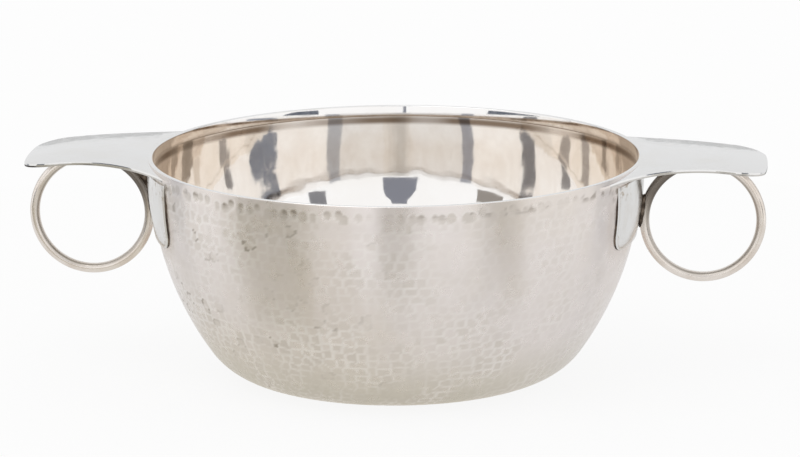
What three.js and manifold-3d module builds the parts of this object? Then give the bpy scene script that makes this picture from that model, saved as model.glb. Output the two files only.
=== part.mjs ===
// A hand-raised silver cup with two flat ears and a finger ring under each ear.
// Millimetres, +Z up. The origin is the middle of the underside, and the ears lie along X.
// Every piece is soldered to its neighbours, so nothing on the cup moves.

import * as THREE from "three";
import { mergeVertices } from "three/addons/utils/BufferGeometryUtils.js";
import Module from "manifold-3d";

const wasm = await Module();
wasm.setup();

// Bowl, raised from one sheet
const cupHeight = 54.2;
const baseRadius = 31.7; // the flat that the cup stands on
const baseCornerRadius = 17; // outside of the turn from the base into the wall
const wallThickness = 0.9;

// Rim collar, a strip on the bowl's top edge
const mouthRadius = 58.9; // inside of the collar, at its top
const collarHeight = 2.5;
const collarThickness = 1.1; // at the top
const collarFlare = 0.35; // how far the inside leans out between bottom and top
const collarOverhang = 0.4; // how far the collar stands out past the bowl's wall
const collarRounding = 0.35; // radius along the collar's two top edges

// Ears, flat plates that run out from the collar
const earReach = 89.9; // from the cup's axis to the tip
const earWidth = 31.4; // at the waist, across Y
const earThickness = 0.8;
const earCornerRadius = 8;
const earRootEdge = 0.25; // width of the ear's two points where they die into the collar
const earRise = 5.7; // degrees above level where the ear leaves the collar
const earArchRadius = 101; // the top bends down along this arc

// Tongues, sheet lappets wrapped round the wall below the collar
const tongueWidth = 52.4; // straight across, at the top
const tongueTaper = 1.2; // how much each side comes in by the lower edge
const tongueDrop = 16.4; // height of the lappet
const tongueThickness = 0.5;
const tongueCornerRadius = 4;
const tongueTurn = 2.3; // degrees that both are set round from the ears' centre line

// Finger rings of round wire
const ringRadius = 14.1; // to the middle of the wire
const wireDiameter = 2.4;
const ringFlat = 0.5; // how deep the wire is filed flat where it meets a sheet

// Solder, a low bead round each place where a ring meets its tongue or its ear
const beadMargin = 1.6; // how far the bead spreads past the filed flat's length
const beadWidth = 4.2; // across Y
const beadHeight = 0.9; // above the sheet

const jointGap = 0.2; // film between soldered faces

// Steps of the round shapes
const turnSteps = 72;
const wallSteps = 8;
const cornerSteps = 6;
const roundingSteps = 3;
const sweepSteps = 12;
const wireSides = 12;
const ringSteps = 48;
const beadSteps = 12;
const weldDistance = 1e-4; // corners closer than this are one

const silver = { color: 0xcfc9c2, roughness: 0.22, metalness: 1 };
const polished = { color: 0xd9d7d4, roughness: 0.14, metalness: 1 };
const wireSilver = { color: 0xc9beb2, roughness: 0.18, metalness: 1 };
const solderGrey = { color: 0x7a685a, roughness: 0.45, metalness: 1 };

// Places that several pieces share
const collarOuterRadius = mouthRadius + collarThickness;
const wallTopRadius = collarOuterRadius - collarOverhang;
const collarBottom = cupHeight - collarHeight;
const wallTop = collarBottom - jointGap;
const rootRadius = collarOuterRadius + jointGap;
const wireRadius = wireDiameter / 2;
const ringOuterRadius = ringRadius + wireRadius;
const radians = THREE.MathUtils.degToRad;

// Reach of the blocks and sheets that cut others, past everything on the cup
const cutAcross = collarOuterRadius;
const cutAlong = earReach;
const cutAbove = 2 * cupHeight;

// The wall is one arc, upright at its top, that runs on into the base corner's arc
function wallArc() {
  const spread = wallTopRadius - baseRadius;
  const rise = wallTop - baseCornerRadius;
  const square = spread ** 2 + rise ** 2 - baseCornerRadius ** 2;
  const radius = square / (2 * (spread - baseCornerRadius));
  const centre = new THREE.Vector2(wallTopRadius - radius, wallTop);
  const joinAngle = Math.atan2(rise, baseRadius - centre.x);
  return { radius, centre, joinAngle };
}
const wall = wallArc();

function arcPoints(centre, radius, start, end, steps) {
  const points = [];
  for (let i = 0; i <= steps; i++) {
    const angle = start + ((end - start) * i) / steps;
    const x = centre.x + radius * Math.cos(angle);
    points.push(new THREE.Vector2(x, centre.y + radius * Math.sin(angle)));
  }
  return points;
}

// The bowl's outline from the base's edge up to the top, moved outwards by a distance
function wallOutline(outward) {
  const corner = new THREE.Vector2(baseRadius, baseCornerRadius);
  const cornerArc = baseCornerRadius + outward;
  const lower = arcPoints(corner, cornerArc, -Math.PI / 2, -wall.joinAngle, cornerSteps);
  const upper = arcPoints(wall.centre, wall.radius + outward, -wall.joinAngle, 0, wallSteps);
  return lower.concat(upper.slice(1));
}

// Turns an outline of radius and height about Z
function turned(points) {
  const geometry = new THREE.LatheGeometry(points, turnSteps);
  return geometry.rotateX(Math.PI / 2);
}

// A closed outline in plan, made a block from one height to another
function upright(shape, bottom, top) {
  const settings = { depth: top - bottom, bevelEnabled: false, curveSegments: sweepSteps };
  return new THREE.ExtrudeGeometry(shape, settings).translate(0, 0, bottom);
}

function solidOf(geometry) {
  const bare = geometry.clone();
  bare.deleteAttribute("normal");
  bare.deleteAttribute("uv");
  const merged = mergeVertices(bare, weldDistance);
  const vertProperties = Float32Array.from(merged.attributes.position.array);
  const triVerts = Uint32Array.from(merged.index.array);
  return new wasm.Manifold(new wasm.Mesh({ numProp: 3, vertProperties, triVerts }));
}

function geometryOf(solid) {
  const mesh = solid.getMesh();
  const geometry = new THREE.BufferGeometry();
  geometry.setAttribute("position", new THREE.BufferAttribute(mesh.vertProperties, 3));
  geometry.setIndex(new THREE.BufferAttribute(mesh.triVerts, 1));
  geometry.computeVertexNormals();
  return geometry;
}

function piece(name, geometry, finish) {
  const mesh = new THREE.Mesh(geometry, new THREE.MeshStandardMaterial(finish));
  mesh.name = name;
  return mesh;
}

function bowl() {
  const outside = wallOutline(0);
  const inside = wallOutline(-wallThickness).reverse();
  const underside = new THREE.Vector2(0, 0);
  const floor = new THREE.Vector2(0, wallThickness);
  return turned([underside, ...outside, ...inside, floor]);
}

function rimCollar() {
  const innerBottom = new THREE.Vector2(mouthRadius - collarFlare, collarBottom);
  const outerBottom = new THREE.Vector2(collarOuterRadius, collarBottom);
  const round = Math.min(collarRounding, collarThickness / 2);
  const crown = cupHeight - round;
  const outerEdge = new THREE.Vector2(collarOuterRadius - round, crown);
  const innerEdge = new THREE.Vector2(mouthRadius + round, crown);
  const outerRound = arcPoints(outerEdge, round, 0, Math.PI / 2, roundingSteps);
  const innerRound = arcPoints(innerEdge, round, Math.PI / 2, Math.PI, roundingSteps);
  return turned([innerBottom, outerBottom, ...outerRound, ...innerRound, innerBottom.clone()]);
}

// The ear's side in plan is one arc, from its tangent at the collar to its tangent at the waist
function earOutline() {
  const halfWidth = earWidth / 2;
  const startRadius = rootRadius + earRootEdge;
  const cornerY = halfWidth - earCornerRadius;
  const cornerX = Math.sqrt((earReach - earCornerRadius) ** 2 - cornerY ** 2);
  const square = cornerX ** 2 + halfWidth ** 2 - startRadius ** 2;
  const sweep = square / (2 * (startRadius - halfWidth));
  const sweepY = halfWidth + sweep;
  const rootAngle = Math.atan2(sweepY, cornerX);
  const tipAngle = Math.atan2(cornerY, cornerX);
  const right = Math.PI / 2;

  const shape = new THREE.Shape();
  shape.absarc(0, 0, earReach, -tipAngle, tipAngle, false);
  shape.absarc(cornerX, cornerY, earCornerRadius, tipAngle, right, false);
  shape.absarc(cornerX, sweepY, sweep, -right, rootAngle - Math.PI, true);
  shape.absarc(0, 0, rootRadius, rootAngle, -rootAngle, true);
  shape.absarc(cornerX, -sweepY, sweep, Math.PI - rootAngle, right, true);
  shape.absarc(cornerX, -cornerY, earCornerRadius, -right, -tipAngle, false);
  return shape;
}

// The ear's top bends down along an arc in XZ, which starts level with the collar's top
function earArc() {
  const rise = radians(earRise);
  const x = rootRadius + earArchRadius * Math.sin(rise);
  return new THREE.Vector2(x, cupHeight - earArchRadius * Math.cos(rise));
}
const earArcCentre = earArc();

function ear() {
  const innermost = Math.acos((baseRadius - earArcCentre.x) / earArchRadius);
  const outermost = Math.acos((earReach + earCornerRadius - earArcCentre.x) / earArchRadius);
  const steps = 2 * sweepSteps;
  const underRadius = earArchRadius - earThickness;
  const top = arcPoints(earArcCentre, earArchRadius, outermost, innermost, steps);
  const under = arcPoints(earArcCentre, underRadius, innermost, outermost, steps);
  const section = new THREE.Shape([...top, ...under]);
  const sheet = upright(section, -cutAcross, cutAcross).rotateX(Math.PI / 2);
  const outline = upright(earOutline(), 0, cutAbove);
  return geometryOf(solidOf(sheet).intersect(solidOf(outline)));
}

// The lappet's outline seen along X, with Y across and Z up
function tongueOutline() {
  const topHalf = tongueWidth / 2;
  const lowHalf = topHalf - tongueTaper;
  const bottom = wallTop - tongueDrop;
  const corner = tongueCornerRadius;
  const shape = new THREE.Shape();
  shape.moveTo(topHalf, wallTop);
  shape.lineTo(-topHalf, wallTop);
  shape.lineTo(-lowHalf, bottom + corner);
  shape.quadraticCurveTo(-lowHalf, bottom, corner - lowHalf, bottom);
  shape.lineTo(lowHalf - corner, bottom);
  shape.quadraticCurveTo(lowHalf, bottom, lowHalf, bottom + corner);
  return shape;
}

function tongue() {
  const innerFace = wallOutline(jointGap);
  const outerFace = wallOutline(jointGap + tongueThickness);
  const shell = turned([...outerFace, ...innerFace.reverse(), outerFace[0].clone()]);
  const outline = upright(tongueOutline(), 0, cutAlong);
  outline.rotateX(Math.PI / 2).rotateZ(Math.PI / 2 + radians(tongueTurn));
  return geometryOf(solidOf(shell).intersect(solidOf(outline)));
}

// The point, on the far side from the axis, that lies at two given distances from two centres
function meeting(centreA, distanceA, centreB, distanceB) {
  const between = centreB.clone().sub(centreA);
  const span = between.length();
  const along = (distanceA ** 2 - distanceB ** 2 + span ** 2) / (2 * span);
  const aside = Math.sqrt(distanceA ** 2 - along ** 2);
  const unit = between.divideScalar(span);
  const normal = new THREE.Vector2(unit.y, -unit.x);
  return centreA.clone().addScaledVector(unit, along).addScaledVector(normal, aside);
}

// Both sheets as a ring meets them: thickened by the joint's film, so what they cut stays clear
const tongueFaceRadius = wall.radius + jointGap + tongueThickness + jointGap;
const earFaceRadius = earArchRadius - earThickness - jointGap;

function tongueSheet() {
  const face = wallOutline(tongueFaceRadius - wall.radius);
  const foot = new THREE.Vector2(0, face[0].y);
  const head = new THREE.Vector2(0, wallTop);
  return solidOf(turned([foot, ...face, head]));
}

function earSheet() {
  const outermost = Math.acos((earReach - earArcCentre.x) / earArchRadius);
  const innermost = Math.acos((baseRadius - earArcCentre.x) / earArchRadius);
  const under = arcPoints(earArcCentre, earFaceRadius, outermost, innermost, 2 * sweepSteps);
  const above = new THREE.Vector2(0, cutAbove);
  const top = [...under].reverse().map((point) => point.clone().add(above));
  const section = new THREE.Shape([...under, ...top]);
  return solidOf(upright(section, -cutAcross, cutAcross).rotateX(Math.PI / 2));
}

// The ring's two filed flats seat it on the ear's underside and on the tongue's face
const ringSeat = ringOuterRadius - ringFlat;
const ringCentre = meeting(
  earArcCentre,
  earFaceRadius - ringSeat,
  wall.centre,
  tongueFaceRadius + ringSeat,
);

function ringWire(radius) {
  const wire = new THREE.TorusGeometry(ringRadius, radius, wireSides, ringSteps);
  return solidOf(wire.rotateX(Math.PI / 2).translate(ringCentre.x, 0, ringCentre.y));
}

function fingerRing() {
  return geometryOf(ringWire(wireRadius).subtract(tongueSheet()).subtract(earSheet()));
}

// Half the length of the flat that a sheet, curved to a radius, leaves on the ring
function flatReach(sheetCurve) {
  return Math.sqrt((2 * ringFlat) / (1 / ringOuterRadius + sheetCurve));
}

// A bead of solder round the flat that faces a direction, hollowed by the wire in its middle
function solderBead(direction, halfLength, sheet) {
  const spot = ringCentre.clone().addScaledVector(direction, ringSeat);
  const lump = new THREE.SphereGeometry(1, 2 * beadSteps, beadSteps);
  lump.scale(beadHeight, beadWidth / 2, halfLength);
  lump.rotateY(-Math.atan2(direction.y, direction.x)).translate(spot.x, 0, spot.y);
  return geometryOf(solidOf(lump).subtract(ringWire(wireRadius + jointGap)).subtract(sheet));
}

function tongueSolder() {
  const direction = wall.centre.clone().sub(ringCentre).normalize();
  const halfLength = flatReach(1 / tongueFaceRadius) + beadMargin;
  return solderBead(direction, halfLength, tongueSheet());
}

function earSolder() {
  const direction = ringCentre.clone().sub(earArcCentre).normalize();
  const halfLength = flatReach(-1 / earFaceRadius) + beadMargin;
  return solderBead(direction, halfLength, earSheet());
}

// An ear with what hangs below it; the second side is the first one turned half round
function side(word, turn) {
  const group = new THREE.Group();
  group.rotation.z = turn;
  group.add(
    piece("ear_" + word, ear(), polished),
    piece("tongue_" + word, tongue(), polished),
    piece("finger_ring_" + word, fingerRing(), wireSilver),
    piece("tongue_solder_" + word, tongueSolder(), solderGrey),
    piece("ear_solder_" + word, earSolder(), solderGrey),
  );
  return group;
}

const cup = new THREE.Group();
cup.add(
  piece("bowl", bowl(), silver),
  piece("rim_collar", rimCollar(), polished),
  side("right", 0),
  side("left", Math.PI),
);

export default cup;
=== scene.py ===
import math

import bmesh
import bpy
import numpy as np
from mathutils import Matrix, Vector


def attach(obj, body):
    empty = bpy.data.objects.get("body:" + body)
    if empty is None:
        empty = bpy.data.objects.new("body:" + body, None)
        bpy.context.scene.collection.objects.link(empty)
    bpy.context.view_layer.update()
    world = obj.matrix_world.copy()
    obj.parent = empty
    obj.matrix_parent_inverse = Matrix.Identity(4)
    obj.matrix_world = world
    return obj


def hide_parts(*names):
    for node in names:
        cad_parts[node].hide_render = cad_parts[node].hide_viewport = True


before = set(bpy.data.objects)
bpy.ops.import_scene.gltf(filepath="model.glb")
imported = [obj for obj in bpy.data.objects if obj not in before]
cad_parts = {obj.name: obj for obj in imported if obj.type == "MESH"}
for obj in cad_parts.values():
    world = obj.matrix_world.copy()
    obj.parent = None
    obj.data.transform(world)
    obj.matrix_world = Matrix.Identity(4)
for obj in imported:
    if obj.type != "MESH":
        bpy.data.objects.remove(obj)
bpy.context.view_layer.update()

# Lengths are millimetres until a piece is finished, and metres from then on
MM = 0.001

# Bowl
CUP_HEIGHT = 54.2
BASE_RADIUS = 31.7
BASE_CORNER = 17.0
WALL_TOP = 51.5
WALL_TOP_RADIUS = 59.6
WALL_THICKNESS = 0.9

# Rim collar
MOUTH_RADIUS = 58.9
COLLAR_RADIUS = 60.0
COLLAR_ROUNDING = 0.2
COLLAR_FOOT_RADIUS = 59.88
COLLAR_LIP = 0.02  # it stands this far out from its own foot
LIP_HEIGHT = 0.15
LEAN_TOP = math.radians(7.6)  # how far the collar's inner face leans out
LEAN_FOOT = math.radians(5.5)
LEAN_STEPS = 10
SEAM_DEPTH = 0.3
SUNK = 0.05  # how far a soldered sheet's skin lies in what carries it

# Ears
EAR_REACH = 89.9
EAR_WIDTH = 31.4
EAR_THICKNESS = 0.8
EAR_CORNER = 8.0
EAR_START = 59.92  # where the side sweeps touch a circle about the cup's axis
EAR_ROOT = 59.6  # the root runs a little way into the collar
EAR_BLEND = 53.0  # nearer the cup's axis than this, the ear's edge is satin as the wall is
EAR_RISE = math.radians(5.7)
EAR_ARCH = 101.0
ARCH_START = 60.2
ARCH_LEAD = 8.0  # how far it runs on below the root
EAR_TOP_EDGE = 0.14  # rounding
EAR_LOW_EDGE = 0.24
FLAT_NORMAL = 0.97  # a face that is less level than this belongs to the edge

# Tongues
TONGUE_WIDTH = 52.4
TONGUE_TAPER = 1.2
TONGUE_DROP = 16.4
TONGUE_CORNER = 5.2
TONGUE_PROUD = 0.7  # from the bowl's wall to the tongue's face
TONGUE_SEAM = 0.35  # how much of its edge is darkened solder
TONGUE_EDGE = 0.2
TONGUE_TURN = math.radians(2.3)

# Finger rings
RING_RADIUS = 14.1
WIRE_RADIUS = 1.2
RING_X = 74.426
RING_Z = 38.796
WIRE_SIDES = 28
RING_STEPS = 144

# Solder
RING_SEAT = 14.8  # from the ring's middle to the faces that it is soldered to
BEAD_HALF_HEIGHT = 0.8
BEAD_HALF_WIDTH = 1.9
BEAD_ON_TONGUE = 4.2  # half lengths
BEAD_ON_EAR = 4.6
BEAD_LUMP = 0.07
JOINT_X = 62.0  # the corner where ring, ear and tongue come together
JOINT_Z = 50.5
JOINT_DARK = 4.5  # painted shade on the rings is as dark as it gets this near the corner, and gone from the next on
JOINT_UNSHADED = 15.0
WEB_START = math.radians(118)
WEB_END = math.radians(160)
WEB_STEPS = 12
WEB_THICKNESS = 1.7
WEB_EDGE = 0.4
WEB_OUT = 0.8  # from the middle of the wire to the web's near side
WEB_BITE = 0.1  # how far it runs into the sheets
WEB_FEEL = 0.05  # the step in which its far side is felt for

# Hammering outside, where ways run down the wall from its top
BLOW_WIDTH = 2.75
BLOW_HEIGHT = 2.3
BLOW_DEPTH = 0.032
STRONG_SIDE = math.radians(-140)
FIRST_ROW = 0.1
DIMPLE_WIDTH = 2.5
DIMPLE_HEIGHT = 2.9
DIMPLE_DEPTH = 0.07
TOP_FULLNESS = 0.3  # the wall swells out to meet the collar
TOP_LENGTH = 5.5
SEED = 11

# Inside
SWELL = 0.25  # the wall is thinner here than at its rim
SWELL_MIDDLE = 24.0
SWELL_LENGTH = 8.0
SEAM_MIDDLE = 0.95  # the brown of the collar's seam with painted shade under the rim, from the wall's top
SEAM_REACH = 1.4
SMEAR_MIDDLE = -0.2  # old polish left on the right under the rim, from the collar's seam
SMEAR_REACH = 1.5

# Meshes
BOWL_STEPS = 536  # round a spun piece, a multiple of eight
COLLAR_STEPS = 1072
EAR_CUTS = 30.0  # the ear bends from here out
EAR_STEP = 1.5  # between the cuts that let a sheet bend
TONGUE_STEP = 1.3
EDGE_SEGMENTS = 3
CORNER_ANGLE = 60  # degrees between faces, past which an edge is rounded
SMOOTH_ANGLE = math.radians(50)
WELD = 0.002
FAR = 1e6  # farther than any blow

# Camera in metres, fitted to the outlines of the rim, the wall and both rings
CAMERA_DISTANCE = 1.197
CAMERA_RISE = math.radians(12.744)
CAMERA_TURN = math.radians(4.926)
CAMERA_ROLL = math.radians(-0.313)
CAMERA_TARGET = Vector((0.000967, 0, 0.03556))
FOCAL_PIXELS = 4924.6
PICTURE_WIDTH = 800

# Studio in metres: a pale round table, a white room, a lamp, and cards that only the silver sees
WHITE = 0.983
ROOM_LIGHT = 0.95
TABLE_RADIUS = 0.24
TABLE_SHADING = 0.1  # how much of the table's tone is real light on it, so its shadow stays light
TABLE_LIGHT = 1.07  # what the room and the lamp together give the table
TABLE_MIRRORED = (0.80, 0.80, 0.80)  # what the silver mirrors, away from the cup
TABLE_SHADOW_UNDER_CUP = (0.73, 0.715, 0.67)  # and close to it, darker: a painted shadow of the cup
SHADE_MIDDLE = (-0.02, -0.02, 0)
SHADE_START = 0.03
SHADE_END = 0.08
LAMP_PLACE = Vector((-0.35, -0.45, 1.1))
LAMP_TARGET = Vector((0, 0, 0.03))
LAMP_SIZE = (0.9, 0.6)
LAMP_POWER = 2.0
CARD_DISTANCE = 1.6
CARD_STEPS = 24
LYING_HEIGHT = 0.0006
STREAK_DISTANCE = 1.5
STREAK_GAP = 0.02

# Tones that the marks give the hammered outside: painted highlights on the ridges, painted shade in
# the hollows, painted dark reflections in patches, and old polish with painted shade
HAMMERED_MARKS = {
    "hollow_shade": (0.79, 0.735, 0.68),
    "ridge_highlight": (0.93, 0.885, 0.845),
    "pit_reflection": (0.50, 0.45, 0.395),
    "grime_and_shade": (0.30, 0.255, 0.21),
}

# Tones of the cards
DARK_CARD = (0.125, 0.14, 0.17)
HIGH_CARD = (0.235, 0.235, 0.25)
CAMERA_CARD = (0.235, 0.245, 0.285)
FADED_CARD = (0.29, 0.285, 0.29)
COOL_CARD = (0.235, 0.26, 0.315)
WARM_CARD = (0.31, 0.285, 0.26)
DEEP_CARD = (0.035, 0.03, 0.025)
NEAR_CARD = (0.70, 0.66, 0.62)
LEFT_SIDE = (0.46, 0.475, 0.51)
RIGHT_SIDE = (0.36, 0.375, 0.42)
BACK = (0.83, 0.835, 0.84)
STREAK_TINT = (1, 0.985, 0.96)
# Tones of the painted shadow lying on the table round the cup's foot, and of the dark room beyond it
LEFT_FOOT = (0.57, 0.55, 0.49)
LEFT_FAR = (0.44, 0.415, 0.35)
LEFT_SHADE = (0.70, 0.685, 0.66)
RIGHT_FOOT = (0.60, 0.58, 0.53)
FRONT_FOOT = (0.43, 0.41, 0.36)

# In which mirrorings a card is seen, from the first to the last of them
ALWAYS = (1, 99)
FIRST = (1, 1)
FIRST_TWO = (1, 2)
SECOND = (2, 2)
THIRD = (3, 3)
FOURTH = (4, 4)
LATER = (5, 99)


def wall_arc():
    """Radius and middle of the wall's arc, and the angle at which it meets the base corner."""
    spread = WALL_TOP_RADIUS - BASE_RADIUS
    rise = WALL_TOP - BASE_CORNER
    square = spread**2 + rise**2 - BASE_CORNER**2
    radius = square / (2 * (spread - BASE_CORNER))
    middle = WALL_TOP_RADIUS - radius
    join = math.atan2(rise, BASE_RADIUS - middle)
    return radius, middle, join


WALL_RADIUS, WALL_MIDDLE, WALL_JOIN = wall_arc()
WALL_LENGTH = WALL_RADIUS * WALL_JOIN
CORNER_LENGTH = BASE_CORNER * (math.pi / 2 - WALL_JOIN)

# Middle of the arc that each ear is bent on
ARCH_X = ARCH_START + EAR_ARCH * math.sin(EAR_RISE)
ARCH_Z = CUP_HEIGHT - EAR_ARCH * math.cos(EAR_RISE)


def arc(x, z, radius, start, end, steps):
    """Points along an arc, both ends included."""
    points = []
    for i in range(steps + 1):
        angle = start + (end - start) * i / steps
        points.append((x + radius * math.cos(angle), z + radius * math.sin(angle)))
    return points


def wall_radius(z):
    """Radius of the bowl's outside at a height above the base corner."""
    return WALL_MIDDLE + math.sqrt(WALL_RADIUS**2 - (WALL_TOP - z) ** 2)


def line(start, end, steps):
    """Points along a straight line, both ends included."""
    points = []
    for i in range(steps + 1):
        share = i / steps
        points.append(tuple(a + (b - a) * share for a, b in zip(start, end)))
    return points


# Mesh helpers

def outwards(bm):
    """Turns every face of a closed shape outwards."""
    bmesh.ops.recalc_face_normals(bm, faces=bm.faces)


def spun(points, steps, closed):
    """Turns an outline of radius and height about Z, an eighth first and then doubled up."""
    bm = bmesh.new()
    verts = [bm.verts.new((r, 0, z)) for r, z in points]
    pairs = list(zip(verts, verts[1:]))
    if closed:
        pairs.append((verts[-1], verts[0]))
    edges = [bm.edges.new(pair) for pair in pairs]
    bmesh.ops.spin(
        bm, geom=verts + edges, cent=(0, 0, 0), axis=(0, 0, 1), angle=math.pi / 4,
        steps=steps // 8,
    )
    for turn in (math.pi / 4, math.pi / 2, math.pi):
        copy = bmesh.ops.duplicate(bm, geom=bm.verts[:] + bm.edges[:] + bm.faces[:])
        copied = [item for item in copy["geom"] if isinstance(item, bmesh.types.BMVert)]
        turned = Matrix.Rotation(turn, 3, "Z")
        bmesh.ops.rotate(bm, cent=(0, 0, 0), matrix=turned, verts=copied)
    bmesh.ops.remove_doubles(bm, verts=bm.verts, dist=WELD / 2)
    outwards(bm)
    return bm


def flat_face(points, plane):
    """One face from an outline, where plane turns an outline's point into a place."""
    bm = bmesh.new()
    verts = [bm.verts.new(plane(point)) for point in points]
    bm.faces.new(verts)
    outwards(bm)
    return bm


def cut_across(bm, axis, low, high, step):
    """Cuts everything with planes at even steps, so that it can bend."""
    count = int((high - low) / step)
    for i in range(1, count + 1):
        place = low + (high - low) * i / (count + 1)
        everything = bm.verts[:] + bm.edges[:] + bm.faces[:]
        bmesh.ops.bisect_plane(
            bm, geom=everything, dist=1e-5, plane_co=Vector(axis) * place, plane_no=axis,
        )


def thickened(bm, move):
    """Pulls a flat sheet out into a plate."""
    pulled = bmesh.ops.extrude_face_region(bm, geom=bm.faces[:], use_keep_orig=True)
    moved = [item for item in pulled["geom"] if isinstance(item, bmesh.types.BMVert)]
    bmesh.ops.translate(bm, verts=moved, vec=move)
    outwards(bm)


def sharp_edges(bm):
    """Edges between faces that meet at a corner."""
    limit = math.radians(CORNER_ANGLE)
    inner = [edge for edge in bm.edges if len(edge.link_faces) == 2]
    return [edge for edge in inner if edge.calc_face_angle() > limit]


def rounded(bm, edges, width):
    bmesh.ops.bevel(
        bm, geom=edges, offset=width, affect="EDGES", segments=EDGE_SEGMENTS, profile=0.5,
        material=-1, clamp_overlap=True,
    )


def welded(bm):
    """Joins the points that a rounding without room has left on top of each other, in an order
    that is the same in each run."""
    ordered = sorted(bm.verts, key=lambda vert: [round(value, 4) for value in vert.co])
    bmesh.ops.remove_doubles(bm, verts=ordered, dist=WELD)


def swung(bm, turn, axis="Z"):
    """Turns everything, as a rule about the cup's own axis."""
    bmesh.ops.rotate(bm, cent=(0, 0, 0), matrix=Matrix.Rotation(turn, 3, axis), verts=bm.verts)


def put_in_scene(name, data):
    made = bpy.data.objects.new(name, data)
    bpy.context.scene.collection.objects.link(made)
    return made


def finish_piece(name, bm, materials, nodes):
    """Makes the object in metres, puts it on the cup and hides the solids that it stands for."""
    bmesh.ops.scale(bm, vec=(MM, MM, MM), verts=bm.verts)
    mesh = bpy.data.meshes.new(name)
    bm.to_mesh(mesh)
    bm.free()
    for material in materials:
        mesh.materials.append(material)
    mesh.shade_smooth()
    mesh.set_sharp_from_angle(angle=SMOOTH_ANGLE)
    piece = put_in_scene(name, mesh)
    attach(piece, "root")
    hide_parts(*nodes)
    return piece


# Hammer marks and ripples, as heights over the bowl's surface

def surface_place(co):
    """Turn about Z, way down the wall from its top, and height over the bowl's outside."""
    x, y, z = co.T
    radius = np.hypot(x, y)
    turn = np.arctan2(y, x)
    wall_angle = np.arctan2(WALL_TOP - z, radius - WALL_MIDDLE)
    wall_over = np.hypot(radius - WALL_MIDDLE, z - WALL_TOP) - WALL_RADIUS
    corner_angle = np.arctan2(BASE_CORNER - z, radius - BASE_RADIUS)
    corner_over = np.hypot(radius - BASE_RADIUS, z - BASE_CORNER) - BASE_CORNER
    on_corner = (corner_angle > WALL_JOIN) & (radius > BASE_RADIUS)
    on_base = (radius <= BASE_RADIUS) & (z < BASE_CORNER)

    def by_part(base, corner, wall):
        return np.select([on_base, on_corner], [base, corner], wall)

    way = by_part(
        WALL_LENGTH + CORNER_LENGTH + BASE_RADIUS - radius,
        WALL_LENGTH + BASE_CORNER * (corner_angle - WALL_JOIN), WALL_RADIUS * wall_angle)
    over = by_part(-z, corner_over, wall_over)
    angle = by_part(math.pi / 2, corner_angle, wall_angle)
    out = np.stack([np.cos(angle) * np.cos(turn), np.cos(angle) * np.sin(turn), -np.sin(angle)], 1)
    return turn, way, over, radius, out


def blows(turn, way, width, height, first, last, rng):
    """The hammer blow nearest to each point: how far up its hollow the point lies, how much nearer
    it is than the next blow, how strong it is, and how far the point lies below its middle."""
    rows = int((last - first) / height) + 1
    most = int(2 * math.pi * WALL_TOP_RADIUS / width) + 2
    jitter_turn = rng.uniform(-0.3, 0.3, (rows, most))
    jitter_way = rng.uniform(-0.25, 0.25, (rows, most))
    lift = rng.uniform(0, 0.5, (rows, most))
    strength = rng.uniform(0, 1, (rows, most))
    share = turn / (2 * math.pi) % 1
    best = np.full(len(turn), FAR)
    second = np.full(len(turn), FAR)
    power = np.zeros(len(turn))
    below = np.zeros(len(turn))
    row_at = np.rint((way - first) / height).astype(int)
    for row_step in (-1, 0, 1):
        row = np.clip(row_at + row_step, 0, rows - 1)
        there = row == row_at + row_step
        row_way = first + row * height
        row_radius = np.interp(row_way, ROW_WAYS, ROW_RADII)
        count = np.maximum(np.rint(2 * math.pi * row_radius / width), 8).astype(int)
        offset = (row * 0.5) % 1 + row * 0.137
        place = share * count - offset
        for side_step in (-1, 0, 1):
            nearest = np.rint(place).astype(int) + side_step
            index = nearest % count
            across = place - nearest - jitter_turn[row, index]
            along = (way - row_way) / height - jitter_way[row, index]
            up = (across / 0.5) ** 2 + (along / 0.5) ** 2 + lift[row, index]
            up = np.where(there, up, FAR)
            nearer = up < best
            second = np.where(nearer, best, np.minimum(second, up))
            best = np.where(nearer, up, best)
            power = np.where(nearer, strength[row, index], power)
            below = np.where(nearer, along, below)
    return best, second - best, power, below


def row_table():
    """Radius of the outside at even steps down the wall."""
    ways = np.linspace(0, WALL_LENGTH + CORNER_LENGTH, 64)
    wall_angle = np.minimum(ways, WALL_LENGTH) / WALL_RADIUS
    corner_angle = WALL_JOIN + np.maximum(ways - WALL_LENGTH, 0) / BASE_CORNER
    on_wall = WALL_MIDDLE + WALL_RADIUS * np.cos(wall_angle)
    on_corner = BASE_RADIUS + BASE_CORNER * np.cos(corner_angle)
    return ways, np.where(ways <= WALL_LENGTH, on_wall, on_corner)


ROW_WAYS, ROW_RADII = row_table()


def ripple(turn, way, shortest, longest, waves, rng):
    """Gentle waves that close up on themselves round the bowl, of about unit height."""
    total = np.zeros(len(turn))
    for _ in range(waves):
        length = rng.uniform(shortest, longest)
        heading = rng.uniform(0, math.pi)
        round_count = round(2 * math.pi * WALL_TOP_RADIUS * math.cos(heading) / length)
        down_rate = 2 * math.pi * math.sin(heading) / length
        total += np.cos(round_count * turn + down_rate * way + rng.uniform(0, 2 * math.pi))
    return total / math.sqrt(waves / 2)


def eased(value, low, high):
    share = np.clip((value - low) / (high - low), 0, 1)
    return share * share * (3 - 2 * share)


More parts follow.
